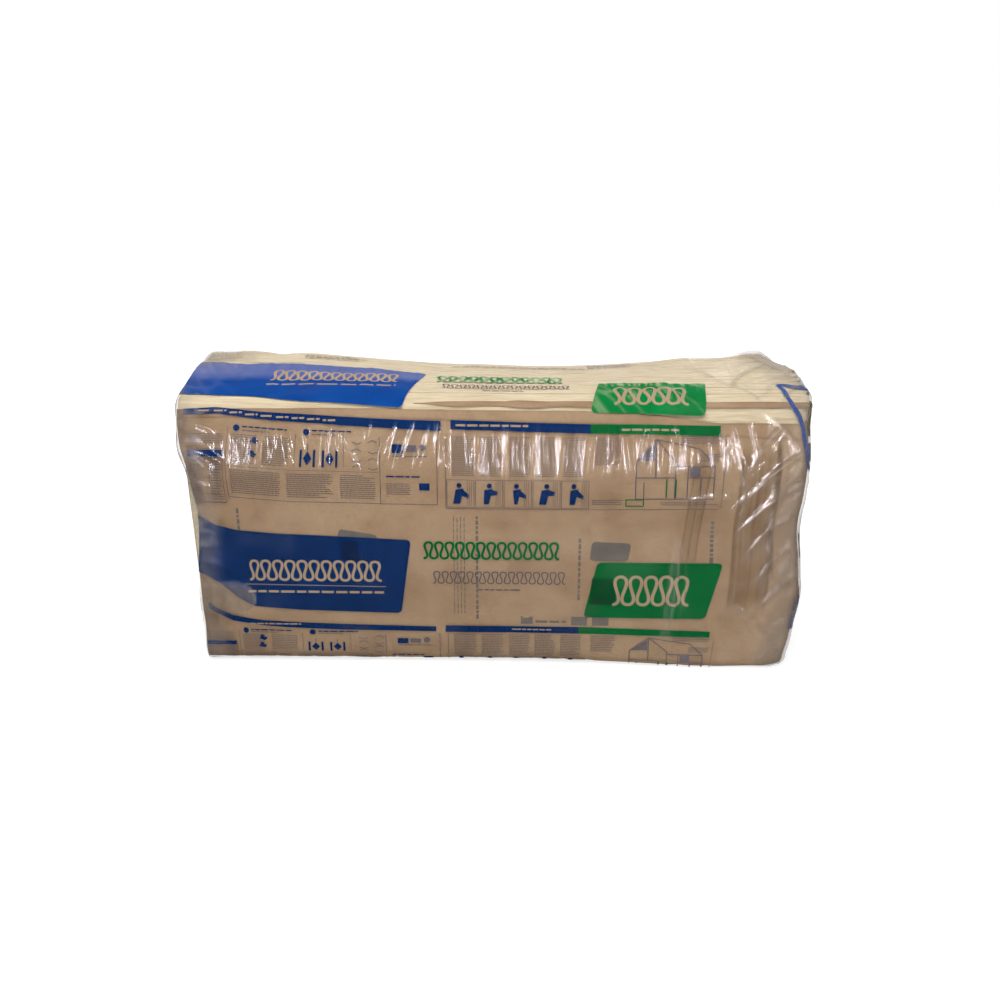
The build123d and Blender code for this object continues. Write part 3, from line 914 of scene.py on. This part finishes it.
def big_areas(blue, green, cream):
    """The lower banner and plate of one face."""
    low = (-640, 216), (-599, 203), (-560, 180), (-520, 150), (-482, 130), (-389, 123), (-184, 117)
    high = (-640, 338), (-604, 327), (-572, 309), (-521, 299), (-420, 291), (-161, 280)
    blue.banner((-636, 0), (-184, 23), low, high, 9, 130, 42)
    green.banner((184, 26), (428, 29), ((184, 112), (428, 112)), ((210, 235), (457, 233)), 9, 72, 34)
    cream.loops(232, 404, 142, 204, 5, 6.5)
    cream.loops(-498, -214, 190, 232, 11, 5.4)
    cream.line(-500, 180, -214, 177, 1.2)
    cream.words(-496, -218, 164, 5.0, 41)


# A plain house in outline, gable left and annex right: x and share of the row's height, twice
HOUSE = [
    (280, 0.10, 280, 0.62), (280, 0.62, 318, 0.92), (318, 0.92, 356, 0.62), (356, 0.62, 356, 0.10),
    (280, 0.10, 430, 0.10), (280, 0.40, 356, 0.40), (356, 0.56, 430, 0.56), (430, 0.56, 430, 0.10),
    (318, 0.92, 402, 0.80), (402, 0.80, 430, 0.56), (380, 0.10, 380, 0.56), (405, 0.10, 405, 0.40),
    (380, 0.40, 430, 0.40), (296, 0.10, 296, 0.34), (318, 0.40, 318, 0.92),
]


def small_panel(navy, blue, green, base, high, seed):
    """One row of instructions: a table, columns of writing, symbols and a drawn house, all generic."""
    def pp(t):
        return base + t * high

    def lines(*rows):
        for x0, t0, x1, t1, width in rows:
            navy.line(x0, pp(t0), x1, pp(t1), width)

    def texts(*rows):
        for x0, x1, t0, t1, n in rows:
            navy.text(x0, x1, pp(t0), pp(t1), seed=seed + n)

    navy.lean = blue.lean = green.lean = True
    # left part: a table, then two columns with symbols and a row of writing below them
    navy.frame(-586, -516, pp(0.01), pp(0.76), 1.1)
    blue.bar(-585, -517, pp(0.655), pp(0.745))
    lines(*((-586, t, -516, t, 0.8) for t in (0.12, 0.24, 0.36, 0.48, 0.60)))
    lines(*((x, 0.01, x, 0.65, 0.8) for x in (-566, -545, -530)))
    navy.text(-584, -570, pp(0.03), pp(0.64), 5.5, 1.6, seed + 2)
    navy.text(-543, -519, pp(0.03), pp(0.64), 5.5, 1.6, seed + 3)
    texts((-584, -518, 0.80, 0.97, 1), (-500, -452, 0.47, 0.88, 6), (-438, -388, 0.47, 0.88, 7),
          *((x0, x1, 0.04, 0.40, x1) for x0, x1 in ((-500, -402), (-390, -305), (-292, -228))))
    lines((-508, 0.0, -508, 0.96, 1.1), (-508, 0.44, -222, 0.44, 0.8), (-218, 0.0, -218, 0.93, 1.1),
          (-107, 0.0, -107, 0.96, 1.1), (-590, 0.0, -107, 0.0, 1.1), *((x, 0.5, x, 0.93, 0.8) for x in (-378, -286)))
    for x, wide in ((-492, 108), (-358, 96)):
        blue.disc(x, pp(0.955), 6.2)
        blue.words(x + 11, x + wide * 0.9, pp(0.975), 2.6, seed + 4)
        navy.words(x + 11, x + wide * 0.6, pp(0.925), 2.0, seed + 5)
    for x, p in ((-456, pp(0.82)), (-458, pp(0.64))):
        blue.disc(x, p, 4.6)
        blue.quad([(x - 9, p - 5), (x + 5, p - 9), (x + 10, p - 2), (x - 2, p + 1)])
    for x in (-368, -326):
        blue.bar(x, x + 4.0, pp(0.49), pp(0.72))
        blue.bar(x + 25, x + 29, pp(0.49), pp(0.72))
        blue.quad([(x + 14.5, pp(0.51)), (x + 22.5, pp(0.605)), (x + 14.5, pp(0.70)), (x + 6.5, pp(0.605))])
        lines((x + 14.5, 0.71, x + 14.5, 0.80, 1.4))
    for k, p in enumerate((pp(0.84), pp(0.72), pp(0.60), pp(0.50))):
        for j, x in enumerate((-270, -240)):
            peak = p + (5 if (k + j) % 2 else -4)
            navy.line(x, p, x + 9, peak, 1.5)
            navy.line(x + 9, peak, x + 18, p, 1.5)
    blue.bar(-194, -172, pp(0.71), pp(0.83))
    navy.bar(-168, -146, pp(0.73), pp(0.82))
    navy.disc(-134, pp(0.79), 6.5)
    navy.words(-194, -126, pp(0.67), 2.0, seed + 9)
    blue.words(-206, -140, pp(0.39), 3.0, seed + 10)
    blue.bar(-142, -122, pp(0.20), pp(0.30))
    # right part: five columns of writing over five framed symbols, then the house
    columns = enumerate(((-78, -32), (-22, 22), (34, 76), (86, 128), (139, 180)))
    texts((-206, -160, 0.10, 0.30, 11), *((x0, x1, 0.40, 0.955, 20 + k) for k, (x0, x1) in columns),
          (200, 250, 0.55, 0.95, 31), (196, 256, 0.0, 0.10, 32), (366, 442, 0.84, 0.98, 33),
          (400, 442, 0.60, 0.74, 34), (330, 440, -0.02, 0.06, 35))
    lines((-90, -0.04, -90, 0.96, 1.0), (-90, -0.05, 440, -0.05, 1.0), (446, -0.03, 450, 0.93, 1.0))
    for k in range(5):
        x, up = -88 + 56 * k, 0.05 * (k % 2)
        navy.frame(x, x + 53, pp(-0.03), pp(0.36), 0.9)
        blue.disc(x + 24 + 3 * (k % 2), pp(0.28), 5.0)
        blue.quad([(x + 12 + 4 * (k % 3), pp(0.02)), (x + 26, pp(0.02)), (x + 33, pp(0.24)), (x + 17, pp(0.22))])
        blue.quad([(x + 27, pp(0.14)), (x + 42, pp(0.10 + up)), (x + 43, pp(0.15 + up)), (x + 30, pp(0.23))])
        lines(*((x + 40 + 4 * j, -0.01, x + 40 + 4 * j, 0.34, 0.7) for j in range(3)))
    lines(*((*row, 1.8) for row in HOUSE))
    navy.quad([(284, pp(0.64)), (316, pp(0.64)), (316, pp(0.87)), (300, pp(0.76))])
    navy.quad([(384, pp(0.42)), (403, pp(0.42)), (403, pp(0.55)), (384, pp(0.55))])
    green.frame(262, 296, pp(0.0), pp(0.09), 2.0)
    for x in (340, 358):
        green.line(x, pp(0.12), x, pp(0.38), 2.4)
    navy.lean = blue.lean = green.lean = False


# The two long bars: x of their right end, then their lower and upper edges by x and girth
BARS = [
    (-99, ((-606, 534), (-588, 536), (-533, 537), (-456, 525), (-370, 518), (-292, 512), (-176, 507), (-99, 504)),
     ((-606, 547), (-588, 549), (-533, 552), (-456, 541), (-370, 535), (-292, 529), (-176, 525), (-99, 524))),
    (-114, ((-606, 137), (-599, 130), (-578, 114), (-540, 97), (-470, 86), (-418, 82), (-310, 78), (-114, 75)),
     ((-606, 151), (-599, 144), (-578, 127), (-540, 109), (-470, 98), (-418, 95), (-310, 91), (-114, 86))),
]


def scuffed(x, p):
    """Wear at both ends of the blue areas of a face."""
    ends = smooth(548, 600, np.abs(x)) * ridge(np.abs(x) / 40 + p / 70, p / 22, 88, 1.8) * (p < 345) * (p > 262)
    return 0.5 * ends + 0.7 * smooth(500, 570, -x) * ridge(x / 17, p / 8, 90, 1.8) * (p > 525)


def faded_and_glare(x, p):
    """Paler small print: faded at its foot, and a painted glare at its top."""
    return 0.2 * (p < 92) + 0.12 * smooth(400, 430, p)


def face_prints(suffix, turn):
    """The print of one long side."""
    blue, green, navy, cream, head, heading, over_blue, over_green = (Print(turn) for _ in range(8))
    big_areas(blue, green, cream)
    # header bars of the two rows
    for right, low, high in BARS:
        blue.banner((-594, 0), (right, 0), low, high, 0.5, 120, 5)
    blue.quad([(-80, 508), (190, 502), (190, 520), (-80, 526)])
    green.quad([(190, 502), (439, 498), (439, 518), (190, 520)])
    along_bar = curve((-566, 544), (-533, 545), (-456, 533), (-292, 520))
    for k in range(9):
        cream.words(-566 + 30 * k, -542 + 30 * k, float(along_bar(-554 + 30 * k)), 3.6, 1 + k)
    cream.words(-70, 70, 516, 4.0, 2)
    cream.words(250, 360, 509, 4.0, 3)
    blue.quad([(-95, 74), (175, 74), (175, 89), (-95, 89)])
    green.quad([(175, 74), (440, 71), (440, 84), (175, 89)])
    cream.words(-500, -390, 90, 3.0, 4)
    cream.words(40, 120, 82, 3.0, 5)
    small_panel(navy, blue, green, 356, 146, 100)
    small_panel(navy, blue, green, -24, 99, 200)
    # headings: a looped wadding line in the place of each title
    head.loops(-143, 140, 241, 276, 13, 5.0)
    heading.loops(-124, 152, 186, 212, 16, 2.2)
    heading.words(-30, 60, 172, 3.0, 6)
    over_blue.quad([(-300, 236), (-264, 234), (-268, 277), (-304, 278)])
    over_green.quad([(196, 142), (246, 140), (250, 198), (200, 200)])
    blue.build("banners_blue_" + suffix, BLUE, wear_and_sheen=scuffed)
    green.build("plates_green_" + suffix, GREEN)
    navy.build("instructions_" + suffix, NAVY, wear_and_sheen=faded_and_glare)
    cream.build("knockouts_" + suffix, CREAM, depth=KNOCKOUT_DEPTH)
    head.build("heading_green_" + suffix, GREEN)
    heading.build("heading_blue_" + suffix, NAVY)
    over_blue.build("over_print_blue_" + suffix, BLUE_DEEP, depth=OVER_DEPTH)
    over_green.build("over_print_green_" + suffix, GREEN_DEEP, depth=OVER_DEPTH)


face_prints("front", False)
face_prints("back", True)

# The top's own banner, plate and headings
blue, green, navy, cream, pink = (Print() for _ in range(5))
blue_back = curve((-660, 800), (-572, 798), (-524, 784), (-401, 788), (-276, 784), (-137, 757))
green_back = curve((190, 684), (420, 668))


def scallop(x):
    return 2.2 * np.abs(np.sin(x / 6.5)) + 2.0 * noise(x / 17, 0, 7)


blue.banner((-664, 0), (-174, 37), ((-664, 620), (-602, 597), (-467, 584), (-368, 566), (-172, 551)),
            lambda x: blue_back(x) + scallop(x), 10, 150, 62)
green.banner((190, 22), (409, 11), ((190, 544), (409, 538)), lambda x: green_back(x) + 1.5 * scallop(x), 10, 66, 40)
cream.loops(226, 388, 566, 640, 5, 7.0)
cream.loops(-452, -184, 676, 738, 11, 6.0)
cream.words(-448, -192, 648, 7.0, 42)
green.loops(-120, 145, 690, 742, 12, 6.0)
navy.loops(-106, 157, 636, 664, 15, 2.4)
navy.words(-20, 60, 622, 3.2, 12)
navy.words(-90, 190, 842, 4.0, 14)
navy.words(-60, 150, 852, 3.0, 15)
navy.text(-400, -270, 838, 868, 7, 2.6, 16)
navy.text(196, 300, 836, 872, 7, 2.6, 17)
# Print that wraps on to the right end: an outlined panel, and a plain block near the foot
END_OUTLINE = [
    (556, 658), (562, 594), (572, 557), (584, 536), (594, 512), (600, 470), (606, 430), (676, 424), (684, 560),
    (680, 640), (606, 642),
]
for a, b in zip(END_OUTLINE, END_OUTLINE[1:] + END_OUTLINE[:1]):
    blue.line(*a, *b, 8.0)
green.banner((614, 0), (668, 0), ((600, 492), (680, 486)), ((600, 604), (680, 612)), 8, 16, 16)
blue.quad([(560, 650), (606, 640), (606, 622), (578, 628)])
blue.banner((598, 0), (668, 0), ((590, 446), (680, 440)), ((590, 478), (680, 474)), 6, 20, 10)
blue.banner((598, 0), (676, 0), ((590, 90), (680, 84)), ((590, 158), (680, 152)), 8, 22, 16)
cream.quad([(606, 116), (626, 112), (628, 140), (608, 142)])
pink.quad([(606, 246), (632, 240), (634, 288), (610, 292)])


def sheen_and_wear_top(x, p):
    """Paler areas of the banner on the top: a painted sheen in streaks towards its back edge, and paler crumpled
    streaks at its left end.
    """
    back = 0.42 * smooth(668, 728, p + 8 * noise(x / 14, p / 40, 89)) * (0.75 + 0.25 * ridge(x / 9, p / 130, 90, 1.6))
    return (x < 0) * (back + 0.12 * smooth(470, 580, -x) * ridge(x / 26 + p / 60, p / 60, 91, 2.4))


def frayed(x, p):
    """Wear of the plate on the top."""
    return 0.8 * smooth(644, 672, p) * ridge(x / 11, p / 60, 92, 2.0) + 0.35 * ridge(x / 30 + p / 50, p / 80, 93, 5.0)


blue.build("banner_top", BLUE_LIT_TOP, wear_and_sheen=sheen_and_wear_top)
green.build("plate_top", GREEN_LIT_TOP, wear_and_sheen=frayed)
navy.build("small_print_top", NAVY)
pink.build("pink_print_end", PINK)
cream.build("knockouts_top", CREAM, depth=KNOCKOUT_DEPTH)

# The paper's own pale print, seen through the film: rows of dashes up the sheet and plain blocks
grey = Print()


def upright(x, p0, p1, height, seed):
    """One column of plain dashes."""
    p, k = p0, 0
    while p < p1 - 2:
        size = 4 + 5 * (1 + float(noise(k * 1.1, seed * 0.7, 9)))
        grey.bar(x - height / 2, x + height / 2, p, min(p + size, p1))
        p, k = p + size + 3.0, k + 1


upright(-512, 296, 348, 7, 1)
for j, x in enumerate((-76, -69, -62, -55)):
    upright(x, 116, 332, 1.8, 2 + j)
upright(-30, 104, 332, 5.0, 8)
upright(174, 150, 286, 5.0, 9)
upright(434, 232, 322, 7, 10)
grey.banner((194, 4), (270, 6), ((190, 238), (280, 236)), ((190, 280), (280, 276)), 8, 24, 16)
grey.banner((-312, 8), (-232, 4), ((-320, 240), (-220, 240)), ((-320, 304), (-220, 288)), 7, 24, 16)
grey.bar(58, 82, 94, 111)
grey.words(88, 150, 100, 5, 11)
grey.bar(160, 192, 92, 112)
grey.bar(202, 236, 92, 112)
grey.build("paper_print", GREY, "kraft_facing", kraft_front, 0.3)

# ---------------------------------------------------------------- floor, lights and camera
def seen_as(tree, indirect, seen):
    """One shader for camera, glossy and transmission rays, and another for the light that falls on things."""
    rays = add(tree, "LightPath").outputs
    either = calculate(tree, "MAXIMUM", rays["Is Camera Ray"], rays["Is Glossy Ray"])
    either = calculate(tree, "MAXIMUM", either, rays["Is Transmission Ray"])
    return add(tree, "MixShader", {0: either, 1: indirect, 2: seen}).outputs[0]


material, tree = new_material("studio_white")
plain = add(tree, "BsdfDiffuse", {"Color": (0.46, 0.46, 0.46, 1)}).outputs[0]
away = add(tree, "VectorMath", {0: add(tree, "TexCoord").outputs["Object"]}, operation="LENGTH").outputs["Value"]
lamp = add(tree, "Emission", {"Strength": map_range(tree, away, 0.9, 1.8, 0.76, 1.0)}).outputs[0]
lit = add(tree, "AddShader", {0: plain, 1: lamp}).outputs[0]
add(tree, "OutputMaterial", {0: seen_as(tree, plain, lit)})
floor = make_mesh("floor", [(-6, -6, 0), (6, -6, 0), (6, 6, 0), (-6, 6, 0)], [(0, 1, 2, 3)], material)

world = bpy.data.worlds.new("studio")
bpy.context.scene.world = world
world.use_nodes = True
tree = world.node_tree
towards = add(tree, "SeparateXYZ", {0: add(tree, "TexCoord").outputs["Generated"]}).outputs
dome = ramp(tree, calculate(tree, "MULTIPLY_ADD", towards["Z"], 0.5, 0.5), (0.0, 0.20), (0.5, (0.22, 0.22, 0.225)),
            (0.6, (0.24, 0.24, 0.245)), (0.7, 0.18), (0.84, 0.18), (1.0, 0.24))
dimmed = multiply(tree, dome, map_range(tree, towards["Y"], -0.5, 0.4, 0.42, 1.0))
sky = add(tree, "Background", {"Color": dimmed, "Strength": 1}).outputs[0]
white = add(tree, "Background", {"Color": (1, 1, 1, 1), "Strength": 1}).outputs[0]
tree.links.new(seen_as(tree, sky, white), tree.nodes["World Output"].inputs["Surface"])


def area_light(name, place, aim, size, power, gloss):
    """A light that shows only in glossy surfaces, or only lights the dull ones."""
    data = bpy.data.lights.new(name, "AREA")
    data.shape = "RECTANGLE"
    data.size, data.size_y = size
    data.energy = power
    data.color = (0.93, 0.9, 1.0) if gloss else (1, 1, 1)
    obj = bpy.data.objects.new(name, data)
    bpy.context.scene.collection.objects.link(obj)
    obj.location = place
    obj.rotation_euler = (Vector(aim) - Vector(place)).to_track_quat("-Z", "Y").to_euler()
    obj.visible_camera, obj.visible_glossy, obj.visible_diffuse = False, gloss, not gloss


for row in (("strip_left", (-0.95, -2.1, 0.27), (-0.3, 0, 0.42), (0.08, 0.5), 22, True),
            ("strip_middle", (0.10, -2.1, 0.27), (0.1, 0, 0.42), (0.2, 0.5), 46, True),
            ("strip_right", (0.66, -2.1, 0.27), (0.3, 0, 0.42), (0.11, 0.5), 24, True),
            ("strip_far", (2.4, -1.5, 0.28), (0.3, 0, 0.4), (0.2, 0.5), 5, True),
            ("strip_back_right", (0.8, 2.3, 1.45), (0.3, 0, 0.55), (0.12, 0.8), 1.6, True),
            ("soft_box", (-0.3, -1.2, 2.95), (0, 0, 0.4), (3.0, 2.2), 82, False),
            ("front_box", (0.1, -3.0, 0.8), (0, 0, 0.35), (2.2, 0.9), 23.5, False),
            ("fill_left", (-3.2, 2.2, 1.5), (0, 0, 0.3), (1.6, 1.6), 44, False),
            ("fill_right", (3.2, 2.2, 1.5), (0, 0, 0.3), (1.6, 1.6), 44, False)):
    area_light(*row)

ELEVATION, AZIMUTH, DISTANCE, FOCAL = math.radians(21.2), math.radians(0.85), 2.75, 1300.0
TARGET = np.array([0.013, 0.0, 0.2903])
camera = bpy.data.cameras.new("camera")
camera.sensor_width = 36
camera.lens = FOCAL / 1000 * 36
eye = bpy.data.objects.new("camera", camera)
bpy.context.scene.collection.objects.link(eye)
level = math.cos(ELEVATION)
back = np.array([math.sin(AZIMUTH) * level, -math.cos(AZIMUTH) * level, math.sin(ELEVATION)])
eye.location = TARGET + back * DISTANCE
eye.rotation_euler = Vector(-back).to_track_quat("-Z", "Y").to_euler()
bpy.context.scene.camera = eye
bpy.context.scene.view_settings.view_transform = "Standard"
